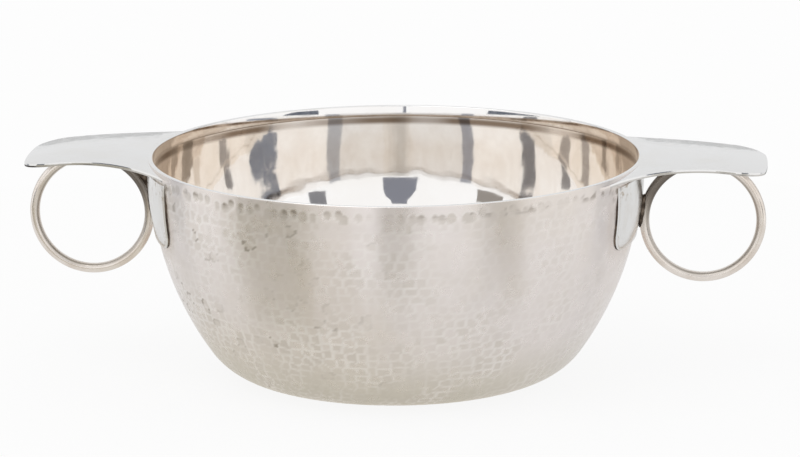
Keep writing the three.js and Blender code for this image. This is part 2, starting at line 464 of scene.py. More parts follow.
def facets(turn, way, rng):
    """Blows all down the outside: their depth, a painted highlight on their ridges, painted shade
    towards each blow's middle that is stronger for stronger blows, and painted dark reflections in
    patches on the strong side.
    """
    start = FIRST_ROW + 0.8 * DIMPLE_HEIGHT
    end = WALL_LENGTH + CORNER_LENGTH
    up, gap, power, _ = blows(turn, way, BLOW_WIDTH, BLOW_HEIGHT, start, end, rng)
    sway = np.clip(0.75 + 0.35 * ripple(turn, way, 14, 40, 12, rng), 0.2, 1.3)
    toward = np.cos(turn - STRONG_SIDE)
    side = 0.5 + 0.45 * toward + 0.35 * eased(way, 24, 38)
    whole = eased(way, start - 1.5, start) * (1 - eased(way, end - 3, end)) * sway * side
    depth = whole * BLOW_DEPTH * eased(gap, 0, 3.2) * (0.7 + 0.6 * power)
    # Painted highlight along the ridges between blows
    ridge_highlight = whole * (1 - eased(gap, 0.1, 1.3))
    # Painted shade towards each blow's middle, stronger for stronger blows
    hollow_shade = whole * power * eased(gap, 0.3, 1.6)
    # Painted dark reflections in patches of the strongest blows, only on the strong side
    pit_reflection = whole * eased(up, 1.05, 1.5) * eased(power, 0.88, 0.97) * eased(toward, 0.3, 0.9)
    return depth, ridge_highlight, hollow_shade, pit_reflection


def dimples(turn, way):
    """The uneven first row under the rim: its depth, a painted highlight round each dent, painted
    shade in each dent, and painted shade at the top of each dent together with old polish on the
    right.
    """
    rng = np.random.default_rng(SEED + 1)
    last = FIRST_ROW + 0.1
    up, _, power, below = blows(turn, way, DIMPLE_WIDTH, DIMPLE_HEIGHT, FIRST_ROW, last, rng)
    up = up - 0.25
    in_row = 1 - eased(np.abs(way - FIRST_ROW), 1.4, 2.1)
    sway = np.clip(0.45 + 0.45 * ripple(turn, way * 0, 12, 60, 12, rng), 0.1, 1.1)
    worn = np.clip(0.7 + 0.4 * ripple(turn, way, 1.2, 3, 30, rng), 0.1, 1.1)
    smeared = eased(np.cos(turn), 0.33, 0.5) * (1 - eased(np.sin(turn), -0.3, 0))
    sway = sway * (1 - 0.7 * smeared)
    depth = DIMPLE_DEPTH * (1 - eased(up, 0.2, 1.1)) * in_row * (0.4 + 0.6 * power) * sway
    # A painted highlight round each dent
    ring = 0.7 * eased(up, 0.5, 0.85) * (1 - eased(up, 1.1, 1.5)) * in_row * sway
    hollow_shade = (1 - eased(up, 0.25, 1.1)) * in_row * sway
    # Painted shade at the top of each dent
    crescent = (1 - eased(up, 0.3, 1.15)) * eased(0.22 - below, 0.0, 0.6)
    grime_and_shade = crescent * in_row * eased(power, 0.25, 1.05) * sway * worn
    spots = ripple(turn, way, 1.3, 5, 30, rng) + 0.6 * ripple(turn, way * 0, 8, 20, 10, rng)
    near_seam = 1 - eased(np.abs(way - SMEAR_MIDDLE), 0.1, SMEAR_REACH)
    smear = smeared * near_seam * eased(spots, 0.2, 1.5)
    return depth, ring, hollow_shade, np.maximum(np.maximum(grime_and_shade, 0.12 * hollow_shade), 0.6 * smear)


def inside_swell(turn, way, radius, rng):
    """The inside's height: a wall thinned by the hammer, long soft waves and short faint ones."""
    swell = SWELL * np.exp(-0.5 * ((way - SWELL_MIDDLE) / SWELL_LENGTH) ** 2)
    waves = 0.007 * ripple(turn, way, 9, 20, 14, rng) + 0.0032 * ripple(turn, way, 3.5, 7, 40, rng)
    return swell + waves * eased(radius, 14, 32) * eased(way, 1, 4)


def stains(turn, way, rng):
    """Old polish on the wall beside the upper corners of the tongues."""
    folded = np.arcsin(np.abs(np.sin(turn - TONGUE_TURN)))
    beside = (folded - math.asin(TONGUE_WIDTH / 2 / WALL_TOP_RADIUS)) * WALL_TOP_RADIUS
    near = (1 - eased(np.abs(beside - 0.6), 0.6, 3)) * (1 - eased(way, 1, 4))
    return near * eased(ripple(turn, way, 1.8, 4, 24, rng), 0.1, 1.1)


def seam(turn, way):
    """Brown inside along the collar's seam, weaker on the near side: the seam's own tarnish with
    painted shade under the rim.
    """
    rng = np.random.default_rng(SEED + 2)
    uneven = np.clip(0.85 + 0.25 * ripple(turn, way * 0, 8, 50, 12, rng), 0.3, 1)
    far = 0.3 + 0.7 * eased(np.sin(turn), -0.6, 0.3)
    return far * uneven * (1 - eased(np.abs(way - SEAM_MIDDLE), 0.3, SEAM_REACH))


def places(mesh):
    """The mesh's points in millimetres."""
    co = np.zeros(len(mesh.vertices) * 3)
    mesh.vertices.foreach_get("co", co)
    return co.reshape(-1, 3) / MM


def write_marks(mesh, marks):
    for name, values in marks.items():
        mark = mesh.attributes.new(name, "FLOAT", "POINT")
        mark.data.foreach_set("value", values.astype(np.float32))
    mesh.update()


def hammer(mesh):
    """Moves the bowl's skin outside and inside, and marks what the finishes need to know."""
    rng = np.random.default_rng(SEED)
    co = places(mesh)
    turn, way, over, radius, out = surface_place(co)
    outside = over > -WALL_THICKNESS / 2
    depth, ridge_highlight, hollow_shade, pit_reflection = facets(turn, way, rng)
    dent, ring, hollow_shade_row, grime_and_shade = dimples(turn, way)
    inner = inside_swell(turn, way, radius, rng)
    full = TOP_FULLNESS * (1 - eased(way, 0, TOP_LENGTH))
    moved = np.where(outside, full - depth - dent, inner)
    moved = np.where(outside & (way >= WALL_LENGTH + CORNER_LENGTH - 0.01), 0, moved)
    co = (co + out * moved[:, None]) * MM
    mesh.vertices.foreach_set("co", co.ravel())
    grime_and_shade = np.maximum(grime_and_shade, stains(turn, way, rng))
    # Tan under the rim inside: painted shade
    tan = 1 - eased(way, 6, 20)
    write_marks(mesh, {
        "ridge_highlight": outside * np.maximum(ridge_highlight, ring),
        "hollow_shade": outside * np.maximum(hollow_shade, hollow_shade_row),
        "pit_reflection": outside * pit_reflection,
        "grime_and_shade": np.where(outside, grime_and_shade, seam(turn, way)),
        "tan": np.where(outside, 0, tan),
    })


def hammer_collar(mesh):
    """Carries the first row of marks up on to the collar's outside."""
    co = places(mesh)
    x, y, z = co.T
    turn = np.arctan2(y, x)
    way = WALL_TOP - z
    outside = np.hypot(x, y) > (MOUTH_RADIUS + COLLAR_RADIUS) / 2
    dent, ring, hollow_shade, grime_and_shade = dimples(turn, way)
    out = np.stack([np.cos(turn), np.sin(turn), 0 * turn], 1)
    co = (co - out * (outside * dent)[:, None]) * MM
    mesh.vertices.foreach_set("co", co.ravel())
    write_marks(mesh, {
        "ridge_highlight": outside * ring,
        "hollow_shade": outside * hollow_shade,
        # Inside, the seam's brown and painted shade run a little way up the collar
        "grime_and_shade": np.where(outside, grime_and_shade, 0.5 * (1 - eased(-way, 0, 1.1))),
        "tan": 0 * turn,
    })


# Finishes

def add_node(tree, kind, **values):
    """A shader node of a kind, with its settings."""
    made = tree.nodes.new("ShaderNode" + kind)
    for name, value in values.items():
        setattr(made, name, value)
    return made


def join(source, target):
    target.id_data.links.new(source, target)


def fill(socket, value):
    """Joins a socket to another node's output, or sets it to a number or a colour."""
    if isinstance(value, bpy.types.NodeSocket):
        join(value, socket)
    elif isinstance(value, tuple):
        socket.default_value = (*value, 1)
    else:
        socket.default_value = value


def mixed(mask, first, second):
    """A colour between two, each a colour or another node's output."""
    mix = add_node(mask.id_data, "Mix", data_type="RGBA")
    join(mask, mix.inputs["Factor"])
    fill(mix.inputs[6], first)
    fill(mix.inputs[7], second)
    return mix.outputs[2]


def reckoned(operation, first, second, **values):
    """A sum, product or comparison of two values, each a number or another node's output."""
    made = add_node(first.id_data, "Math", operation=operation, **values)
    fill(made.inputs[0], first)
    fill(made.inputs[1], second)
    return made.outputs["Value"]


def faded(value, start, end, first=0, last=1):
    """Goes softly from first to last as the value goes from start to end."""
    made = add_node(value.id_data, "MapRange", interpolation_type="SMOOTHSTEP")
    numbers = {"From Min": start, "From Max": end, "To Min": first, "To Max": last}
    for name, number in numbers.items():
        made.inputs[name].default_value = number
    join(value, made.inputs["Value"])
    return made.outputs["Result"]


def from_place(operation, place, second=(0, 0, 0)):
    """A place changed by one sum, or for DISTANCE how far it is from a fixed point."""
    made = add_node(place.id_data, "VectorMath", operation=operation)
    join(place, made.inputs[0])
    made.inputs[1].default_value = second
    return made.outputs["Value" if operation == "DISTANCE" else "Vector"]


def height_of(place):
    parts = add_node(place.id_data, "SeparateXYZ")
    join(place, parts.inputs["Vector"])
    return parts.outputs["Z"]


def new_group(name, inputs, output):
    """An empty node group, its inputs as a source of values, and its output as their target."""
    tree = bpy.data.node_groups.new(name, "ShaderNodeTree")
    for word, kind in inputs.items():
        tree.interface.new_socket(word, in_out="INPUT", socket_type="NodeSocket" + kind)
    tree.interface.new_socket(output, in_out="OUTPUT", socket_type="NodeSocketFloat")
    source = tree.nodes.new("NodeGroupInput")
    target = tree.nodes.new("NodeGroupOutput")
    return tree, source.outputs, target.inputs[output]


def new_noise(place, scale, detail, roughness):
    noise = add_node(place.id_data, "TexNoise")
    noise.inputs["Detail"].default_value = detail
    noise.inputs["Roughness"].default_value = roughness
    join(place, noise.inputs["Vector"])
    join(scale, noise.inputs["Scale"])
    return noise.outputs["Fac"]


def clouds_group():
    """Soft uneven patches, from 0 to 1."""
    inputs = {"Vector": "Vector", "Scale": "Float", "Low": "Float", "High": "Float"}
    tree, source, target = new_group("Soft Clouds", inputs, "Mask")
    noise = new_noise(source["Vector"], source["Scale"], 4, 0.55)
    spread = add_node(tree, "MapRange", interpolation_type="SMOOTHSTEP")
    join(noise, spread.inputs["Value"])
    join(source["Low"], spread.inputs["From Min"])
    join(source["High"], spread.inputs["From Max"])
    join(spread.outputs["Result"], target)
    return tree


def lines_group():
    """Fine lines left by polishing, as a height. They run where Stretch is small."""
    inputs = {"Vector": "Vector", "Stretch": "Vector", "Scale": "Float"}
    tree, source, target = new_group("Polishing Lines", inputs, "Height")
    stretch = add_node(tree, "VectorMath", operation="MULTIPLY")
    join(source["Vector"], stretch.inputs[0])
    join(source["Stretch"], stretch.inputs[1])
    noise = new_noise(stretch.outputs["Vector"], source["Scale"], 3, 0.65)
    join(noise, target)
    return tree


CLOUDS = clouds_group()
LINES = lines_group()


def from_group(group, place, **values):
    """What a node group makes of a place and its own values."""
    made = add_node(place.id_data, "Group", node_tree=group)
    join(place, made.inputs["Vector"])
    for name, value in values.items():
        made.inputs[name].default_value = value
    return made.outputs[0]


def clouds(place, scale, low=0.3, high=0.7):
    return from_group(CLOUDS, place, Scale=scale, Low=low, High=high)


def fine_lines(place, stretch, scale, strength, shader):
    bump = add_node(place.id_data, "Bump")
    bump.inputs["Strength"].default_value = strength
    bump.inputs["Distance"].default_value = 0.1 * MM
    lines = from_group(LINES, place, Stretch=stretch, Scale=scale)
    join(lines, bump.inputs["Height"])
    join(bump.outputs["Normal"], shader.inputs["Normal"])


def joint_shade(place):
    """A mask of painted shade on both rings that is strongest in the corner between ear and tongue.
    """
    folded = from_place("ABSOLUTE", place)
    reach = from_place("DISTANCE", folded, (JOINT_X * MM, 0, JOINT_Z * MM))
    return faded(reach, JOINT_DARK * MM, JOINT_UNSHADED * MM, 0.85, 0)


def inner_side_reflection(place):
    """A mask in a line along the side of the wire that faces the ring's middle, where a dark
    reflection is painted.
    """
    folded = from_place("ABSOLUTE", place)
    flat = from_place("MULTIPLY", folded, (1, 0, 1))
    reach = from_place("DISTANCE", flat, (RING_X * MM, 0, RING_Z * MM))

    def inwards(share):
        return (RING_RADIUS - share * WIRE_RADIUS) * MM

    outer = faded(reach, inwards(0.65), inwards(0.2), 1, 0)
    inner = faded(reach, inwards(0.95), inwards(0.68), 0.2, 1)
    return reckoned("MULTIPLY", outer, inner)


def mark(tree, name):
    """How strongly the mesh carries one of its marks."""
    return add_node(tree, "Attribute", attribute_name=name).outputs["Fac"]


def mirrored(tree, times, before, after):
    """One tone until light has been mirrored this many times, another from then on."""
    depth = add_node(tree, "LightPath").outputs["Ray Depth"]
    return mixed(reckoned("GREATER_THAN", depth, times - 0.5), before, after)


def painted_deep_glow(tree, shader, glow, earlier=(0, 0, 0)):
    """A painted glow: the surface itself gives off warm light once light has been mirrored three
    times or more, standing for the light left in a hollow after more mirrorings than a picture
    follows.
    """
    join(mirrored(tree, 3, earlier, glow), shader.inputs["Emission Color"])
    shader.inputs["Emission Strength"].default_value = 1


def new_material(name):
    material = bpy.data.materials.new(name)
    material.use_nodes = True
    return material, material.node_tree


def cover(shader, colour, mask, smooth, rough):
    """Gives the shader its colour, and a roughness that grows with the mask."""
    spread = add_node(mask.id_data, "MapRange")
    join(mask, spread.inputs["Value"])
    spread.inputs["To Min"].default_value = smooth
    spread.inputs["To Max"].default_value = rough
    join(colour, shader.inputs["Base Color"])
    join(spread.outputs["Result"], shader.inputs["Roughness"])


def hammered_silver(tree, shader, place):
    """Outside of the bowl: satin from fine lines round the wall, warm, with painted highlights and
    painted shade from the hammer marks, old polish in places, and painted shade towards the base.
    """
    base = mixed(clouds(place, 30, 0.4, 0.62), (0.855, 0.79, 0.735), (0.89, 0.83, 0.80))
    # Painted shade towards the base, where the wall mirrors the table's shadow by its foot
    foot = faded(height_of(place), 3 * MM, 20 * MM, 1, 0)
    base = mixed(foot, base, (0.77, 0.725, 0.65))
    for name, tone in HAMMERED_MARKS.items():
        base = mixed(mark(tree, name), base, tone)
    cover(shader, base, clouds(place, 260, 0.35), 0.27, 0.35)
    shader.inputs["Anisotropic"].default_value = 0.95
    shader.inputs["Anisotropic Rotation"].default_value = 0.25
    tangent = add_node(tree, "Tangent", direction_type="RADIAL", axis="Z")
    join(tangent.outputs["Tangent"], shader.inputs["Tangent"])
    fine_lines(place, (0.04, 0.04, 1), 1500, 0.12, shader)


def mirror_silver(tree, shader, place):
    """Inside of the bowl: worn to a mirror, faintly warm, with tan painted shade under the rim and
    brown along the seam, darker in its own later mirrorings, and with a painted glow.
    """
    base = mixed(clouds(place, 60, 0.4, 0.65), (0.975, 0.96, 0.95), (0.95, 0.93, 0.91))
    warm = mixed(clouds(place, 190), (0.93, 0.885, 0.835), (0.88, 0.82, 0.76))
    base = mixed(mark(tree, "tan"), base, warm)
    base = mixed(mark(tree, "grime_and_shade"), base, (0.235, 0.175, 0.13))
    # Darker from the second mirroring on, and again from the third: painted shade in the reflections
    # within the bowl
    base = mirrored(tree, 2, base, (0.78, 0.75, 0.71))
    base = mirrored(tree, 3, base, (0.60, 0.56, 0.52))
    cover(shader, base, clouds(place, 700), 0.03, 0.06)
    fine_lines(place, (0.15, 0.15, 1), 900, 0.012, shader)
    # A painted glow from the second mirroring on
    second = mirrored(tree, 2, (0, 0, 0), (0.18, 0.16, 0.14))
    painted_deep_glow(tree, shader, (0.15, 0.125, 0.10), second)


def polished_silver(tree, shader, place):
    """Collar and ears: bright and neutral, with the finest scratches."""
    base = mixed(clouds(place, 90, 0.42, 0.66), (0.865, 0.86, 0.855), (0.85, 0.84, 0.825))
    cover(shader, base, clouds(place, 500), 0.08, 0.15)
    fine_lines(place, (0.3, 1.5, 0.6), 900, 0.03, shader)
    painted_deep_glow(tree, shader, (0.13, 0.108, 0.088))


def sheet_silver(tree, shader, place):
    """Tongues: less polished than the ears, and browner in patches along their upper edge, under the
    ears.
    """
    base = mixed(clouds(place, 150, 0.4, 0.64), (0.84, 0.835, 0.825), (0.80, 0.78, 0.755))
    high = faded(height_of(place), 46.5 * MM, 50 * MM)
    upper_brown = reckoned("MULTIPLY", clouds(place, 420, 0.54, 0.66), high)
    base = mixed(upper_brown, base, (0.50, 0.43, 0.35))
    cover(shader, base, clouds(place, 500), 0.14, 0.24)
    fine_lines(place, (1, 1, 0.3), 900, 0.06, shader)


def wire_silver(tree, shader, place):
    """Finger rings: drawn wire, tan all over, with a painted dark reflection along the inner side
    and painted shade where it meets the cup.
    """
    base = mixed(clouds(place, 130, 0.4, 0.62), (0.90, 0.835, 0.775), (0.80, 0.72, 0.645))
    base = mixed(inner_side_reflection(place), base, (0.47, 0.43, 0.385))
    base = mixed(joint_shade(place), base, (0.10, 0.08, 0.063))
    cover(shader, base, clouds(place, 300), 0.2, 0.26)
    painted_deep_glow(tree, shader, (0.10, 0.08, 0.06))


def solder_silver(tree, shader, place):
    """Solder, darkened in patches: tarnish on the seams and beads, and painted shade where it fills
    the corner under the ear.
    """
    dark = clouds(place, 520, 0.35, 0.6)
    cover(shader, mixed(dark, (0.19, 0.15, 0.118), (0.055, 0.041, 0.032)), dark, 0.3, 0.5)
    fine_lines(place, (1, 1, 1), 2500, 0.25, shader)


def shaded_silver(tree, shader, place):
    """Lower edges of the ears, darkened in patches: painted shade where the edge faces down."""
    dark = clouds(place, 45, 0.48, 0.58)
    cover(shader, mixed(dark, (0.66, 0.64, 0.61), (0.085, 0.075, 0.068)), dark, 0.3, 0.45)


def finish(name, dress):
    """A metal, dressed by one of the functions above."""
    material, tree = new_material(name)
    shader = tree.nodes["Principled BSDF"]
    shader.inputs["Metallic"].default_value = 1
    place = add_node(tree, "TexCoord").outputs["Object"]
    dress(tree, shader, place)
    return material


HAMMERED = finish("silver_hammered", hammered_silver)
MIRROR = finish("silver_inside", mirror_silver)
POLISHED = finish("silver_polished", polished_silver)
SHEET = finish("silver_sheet", sheet_silver)
WIRE = finish("silver_wire", wire_silver)
SOLDER = finish("solder_tarnish_and_shade", solder_silver)
DARK_EDGE = finish("silver_dark_edge", shaded_silver)


# Pieces

def bowl():
    """The shell, spun from the middle of its base up the outside and down the inside."""
    corner = arc(BASE_RADIUS, BASE_CORNER, BASE_CORNER, -math.pi / 2, -WALL_JOIN, 24)
    wall = arc(WALL_MIDDLE, WALL_TOP, WALL_RADIUS, -WALL_JOIN, 0, 92)
    inner_radius = WALL_RADIUS - WALL_THICKNESS
    seam_end = -(SEAM_MIDDLE + SEAM_REACH) / WALL_RADIUS
    inner_seam = arc(WALL_MIDDLE, WALL_TOP, inner_radius, 0, seam_end, 7)
    inner_wall = arc(WALL_MIDDLE, WALL_TOP, inner_radius, seam_end, -WALL_JOIN, 42)
    inner_corner = arc(
        BASE_RADIUS, BASE_CORNER, BASE_CORNER - WALL_THICKNESS, -WALL_JOIN, -math.pi / 2, 9)
    floor = line((BASE_RADIUS, WALL_THICKNESS), (0, WALL_THICKNESS), 4)
    outline = [(0, 0), (BASE_RADIUS / 2, 0)] + corner + wall[1:]
    outline += inner_seam + inner_wall[1:] + inner_corner[1:] + floor[1:]
    bm = spun(outline, BOWL_STEPS, closed=False)
    centres = np.array([tuple(face.calc_center_median()) for face in bm.faces])
    over = surface_place(centres)[2]
    for face, height in zip(bm.faces, over):
        face.material_index = 0 if height > -WALL_THICKNESS / 2 else 1
    piece = finish_piece("bowl_skin", bm, [HAMMERED, MIRROR], ["bowl"])
    hammer(piece.data)


def collar():
    """The strip on the bowl's edge. Outside it runs into the wall; inside it leans out."""
    foot = WALL_TOP - SUNK
    crown = CUP_HEIGHT - COLLAR_ROUNDING
    low = foot + SEAM_DEPTH
    outer = COLLAR_RADIUS - COLLAR_ROUNDING
    inner = MOUTH_RADIUS + COLLAR_ROUNDING
    lip = COLLAR_FOOT_RADIUS + COLLAR_LIP
    outline = [(COLLAR_FOOT_RADIUS - WALL_THICKNESS, foot), (COLLAR_FOOT_RADIUS, foot)]
    outline += line((lip, foot + LIP_HEIGHT), (COLLAR_RADIUS, crown - LIP_HEIGHT), 8)
    outline += arc(outer, crown, COLLAR_ROUNDING, 0, math.pi / 2, 5)
    outline += arc(inner, crown, COLLAR_ROUNDING, math.pi / 2, math.pi, 5)
    radius = MOUTH_RADIUS
    for i in range(LEAN_STEPS):
        lean = LEAN_TOP + (LEAN_FOOT - LEAN_TOP) * (i + 0.5) / LEAN_STEPS
        radius -= math.tan(lean) * (crown - low) / LEAN_STEPS
        outline.append((radius, crown + (low - crown) * (i + 1) / LEAN_STEPS))
    bm = spun(outline, COLLAR_STEPS, closed=True)
    for face in bm.faces:
        centre = face.calc_center_median()
        out = math.hypot(centre.x, centre.y) > COLLAR_FOOT_RADIUS - COLLAR_ROUNDING
        if out and centre.z < crown + 0.5 * COLLAR_ROUNDING:
            face.material_index = 1
        elif math.hypot(centre.x, centre.y) < MOUTH_RADIUS:
            face.material_index = 2
    materials = [POLISHED, HAMMERED, MIRROR]
    piece = finish_piece("rim_collar_band", bm, materials, ["rim_collar"])
    hammer_collar(piece.data)


def ear_outline():
    """The plate from above: round corners, sides that sweep into the collar, and the root."""
    half = EAR_WIDTH / 2
    corner_y = half - EAR_CORNER
    corner_x = math.sqrt((EAR_REACH - EAR_CORNER) ** 2 - corner_y**2)
    square = corner_x**2 + half**2 - EAR_START**2
    sweep = square / (2 * (EAR_START - half))
    root = math.atan2(half + sweep, corner_x)
    tip = math.atan2(corner_y, corner_x)
    side = arc(corner_x, corner_y, EAR_CORNER, tip, math.pi / 2, 10)
    side += arc(corner_x, half + sweep, sweep, -math.pi / 2, root - math.pi, 30)[1:]
    points = arc(0, 0, EAR_REACH, -tip, tip, 12) + side[1:]
    points += arc(0, 0, EAR_ROOT, root, -root, 60)
    return points + [(x, -y) for x, y in reversed(side)][:-1]


def ear_top(x):
    """Height of the ear's upper face along its length."""
    return ARCH_Z + math.sqrt(EAR_ARCH**2 - (x - ARCH_X) ** 2)


def ear(word, turn):
    """A plate, cut flat to its outline, rounded and then bent along its length."""
    bm = flat_face(ear_outline(), lambda point: (point[0], point[1], 0))
    cut_across(bm, (1, 0, 0), EAR_CUTS, EAR_REACH, EAR_STEP)
    thickened(bm, (0, 0, -EAR_THICKNESS))
    cut_across(bm, (0, 0, 1), -EAR_THICKNESS, 0, EAR_THICKNESS)
    middle = -EAR_THICKNESS / 2
    upper = [edge for edge in sharp_edges(bm) if edge.verts[0].co.z > middle]
    rounded(bm, upper, EAR_TOP_EDGE)
    lower = [edge for edge in sharp_edges(bm) if edge.verts[0].co.z < middle]
    rounded(bm, lower, EAR_LOW_EDGE)
    welded(bm)
    edge_faces = [face for face in bm.faces if abs(face.normal.z) < FLAT_NORMAL]
    for face in edge_faces:
        centre = face.calc_center_median()
        if centre.x < EAR_BLEND:
            face.material_index = 2
        # The lower edge gets the painted shade of the dark edge finish
        elif centre.z < middle:
            face.material_index = 1
    for vert in bm.verts:
        vert.co.z += ear_top(max(vert.co.x, ARCH_START - ARCH_LEAD))
    swung(bm, turn)
    materials = [POLISHED, DARK_EDGE, HAMMERED]
    finish_piece("ear_plate_" + word, bm, materials, ["ear_" + word])


def tongue_outline():
    top_half = TONGUE_WIDTH / 2
    low_half = top_half - TONGUE_TAPER
    bottom = WALL_TOP - TONGUE_DROP
    corner_y = low_half - TONGUE_CORNER
    corner_z = bottom + TONGUE_CORNER
    right = arc(corner_y, corner_z, TONGUE_CORNER, 0, -math.pi / 2, 8)
    left = [(-y, z) for y, z in reversed(right)]
    return [(top_half, WALL_TOP)] + right + left + [(-top_half, WALL_TOP)]


def tongue(word, turn):
    """A sheet, cut flat to its outline and then wrapped round the wall."""
    bm = flat_face(tongue_outline(), lambda point: (0, point[0], point[1]))
    cut_across(bm, (0, 1, 0), -TONGUE_WIDTH / 2, TONGUE_WIDTH / 2, TONGUE_STEP)
    cut_across(bm, (0, 0, 1), WALL_TOP - TONGUE_DROP, WALL_TOP, TONGUE_STEP)
    thickened(bm, (TONGUE_PROUD, 0, 0))
    cut_across(bm, (1, 0, 0), 0, 2 * TONGUE_SEAM, 2 * TONGUE_SEAM)
    middle = TONGUE_PROUD / 2
    rim = [edge for edge in sharp_edges(bm) if max(vert.co.x for vert in edge.verts) > middle]
    rounded(bm, rim, TONGUE_EDGE)
    for face in bm.faces:
        if abs(face.normal.x) < 0.5 and face.calc_center_median().x < TONGUE_SEAM:
            face.material_index = 1
    for vert in bm.verts:
        reach = wall_radius(vert.co.z) + vert.co.x - SUNK
        vert.co.x = math.sqrt(reach**2 - vert.co.y**2)
    swung(bm, turn + TONGUE_TURN)
    materials = [SHEET, SOLDER]
    finish_piece("tongue_sheet_" + word, bm, materials, ["tongue_" + word])


def ring(word, turn):
    """Wire bent to a full circle, upright under the ear."""
    bm = bmesh.new()
    section = Matrix.Translation((RING_X + RING_RADIUS, 0, RING_Z))
    bmesh.ops.create_circle(
        bm, cap_ends=False, segments=WIRE_SIDES, radius=WIRE_RADIUS, matrix=section)
    bmesh.ops.spin(
        bm, geom=bm.verts[:] + bm.edges[:], cent=(RING_X, 0, RING_Z), axis=(0, 1, 0),
        angle=2 * math.pi, steps=RING_STEPS, use_merge=True,
    )
    outwards(bm)
    swung(bm, turn)
    finish_piece("ring_wire_" + word, bm, [WIRE], ["finger_ring_" + word])


def solder_bead(name, word, turn, toward, length, node):
    """A lumpy bead between the ring and a sheet; toward is the angle from the ring's middle."""
    bm = bmesh.new()
    bmesh.ops.create_uvsphere(bm, u_segments=32, v_segments=20, radius=1)
    bmesh.ops.scale(bm, vec=(BEAD_HALF_HEIGHT, BEAD_HALF_WIDTH, length), verts=bm.verts)
    rng = np.random.default_rng(SEED + len(name))
    for vert in bm.verts:
        lump = 1 + BEAD_LUMP * math.sin(3 * vert.co.z + rng.uniform(-0.2, 0.2))
        vert.co = Vector((vert.co.x * lump, vert.co.y * lump, vert.co.z))
    swung(bm, -toward, "Y")
    spot = (RING_X + RING_SEAT * math.cos(toward), 0, RING_Z + RING_SEAT * math.sin(toward))
    bmesh.ops.translate(bm, vec=spot, verts=bm.verts)
    swung(bm, turn)
    finish_piece(name + word, bm, [SOLDER], [node + word])


def solder_web(word, turn):
    """Solder that has run into the corner between the ring, the ear and the tongue; its near-black
    colour is painted shade of that corner.
    """
    near_ring = arc(RING_X, RING_Z, RING_RADIUS + WEB_OUT, WEB_START, WEB_END, WEB_STEPS)
    angles = np.linspace(WEB_END, WEB_START, WEB_STEPS + 1)
    corner = [web_reach(angle) for angle in angles]
    bm = flat_face(near_ring + corner, lambda point: (point[0], -WEB_THICKNESS / 2, point[1]))
    thickened(bm, (0, WEB_THICKNESS, 0))
    rounded(bm, sharp_edges(bm), WEB_EDGE)
    welded(bm)
    swung(bm, turn)
    finish_piece("web_under_ear_" + word, bm, [SOLDER], ["tongue_solder_" + word])


def web_reach(angle):
    """Where a line out from the ring's middle first comes near the tongue's face or the ear."""
    reach = RING_RADIUS
    while True:
        x = RING_X + reach * math.cos(angle)
        z = RING_Z + reach * math.sin(angle)
        at_tongue = x < wall_radius(min(z, WALL_TOP)) + TONGUE_PROUD - WEB_BITE
        at_ear = z > ear_top(max(x, ARCH_START)) - EAR_THICKNESS + WEB_BITE
        if at_tongue or at_ear:
            return x, z
        reach += WEB_FEEL


def side(word, turn):
    """Everything on one side of the cup."""
    ear(word, turn)
    tongue(word, turn)
    ring(word, turn)
    to_wall = math.atan2(WALL_TOP - RING_Z, WALL_MIDDLE - RING_X)
    to_ear = math.atan2(RING_Z - ARCH_Z, RING_X - ARCH_X)
    solder_bead("bead_on_tongue_", word, turn, to_wall, BEAD_ON_TONGUE, "tongue_solder_")
    solder_bead("bead_on_ear_", word, turn, to_ear, BEAD_ON_EAR, "ear_solder_")


bowl()
collar()
side("right", 0)
side("left", math.pi)
# Only the left corner gets a web, and its dark solder paints the shade in that corner
solder_web("left", math.pi)


# Camera and studio

def camera():
    data = bpy.data.cameras.new("photo_camera")
    data.sensor_fit = "HORIZONTAL"
    data.sensor_width = 36
    data.lens = FOCAL_PIXELS / PICTURE_WIDTH * data.sensor_width
    made = put_in_scene("photo_camera", data)
    level = math.cos(CAMERA_RISE)
    back = Vector((
        math.sin(CAMERA_TURN) * level, -math.cos(CAMERA_TURN) * level, math.sin(CAMERA_RISE)))
    facing = (-back).to_track_quat("-Z", "Y").to_matrix().to_4x4()
    roll = Matrix.Rotation(CAMERA_ROLL, 4, "Z")
    made.matrix_world = Matrix.Translation(CAMERA_TARGET + back * CAMERA_DISTANCE) @ facing @ roll
    bpy.context.scene.camera = made


def mixed_shaders(share, first, second):
    mix = add_node(share.id_data, "MixShader")
    join(share, mix.inputs["Fac"])
    join(first, mix.inputs[1])
    join(second, mix.inputs[2])
    return mix.outputs["Shader"]


def clear(tree):
    return add_node(tree, "BsdfTransparent").outputs["BSDF"]


def glowing(tree, tone):
    glow = add_node(tree, "Emission")
    fill(glow.inputs["Color"], tone)
    return glow.outputs["Emission"]


def seen_directly(tree):
    """1 for rays from the camera and for mirrored or refracted ones."""
    path = add_node(tree, "LightPath")
    either = reckoned("ADD", path.outputs["Is Camera Ray"], path.outputs["Is Glossy Ray"])
    return reckoned("ADD", either, path.outputs["Is Transmission Ray"], use_clamp=True)


def between_mirrorings(tree, first, last):
    """1 for light that has been mirrored from first to last times."""
    depth = add_node(tree, "LightPath").outputs["Ray Depth"]
    enough = reckoned("GREATER_THAN", depth, first - 0.5)
    few = reckoned("LESS_THAN", depth, last + 0.5)
    return reckoned("MULTIPLY", enough, few)


def room():
    world = bpy.data.worlds.new("white_room")
    bpy.context.scene.world = world
    world.use_nodes = True
    tree = world.node_tree
    lit = tree.nodes["Background"]
    fill(lit.inputs["Color"], (1, 1, 1))
    fill(lit.inputs["Strength"], ROOM_LIGHT)
    shown = add_node(tree, "Background")
    fill(shown.inputs["Color"], (WHITE, WHITE, WHITE))
    direct = seen_directly(tree)
    both = mixed_shaders(direct, lit.outputs["Background"], shown.outputs["Background"])
    join(both, tree.nodes["World Output"].inputs["Surface"])


def stage_material(name):
    """A material without nodes, but for its output."""
    material, tree = new_material(name)
    tree.nodes.clear()
    output = add_node(tree, "OutputMaterial")
    return material, tree, output.inputs["Surface"]


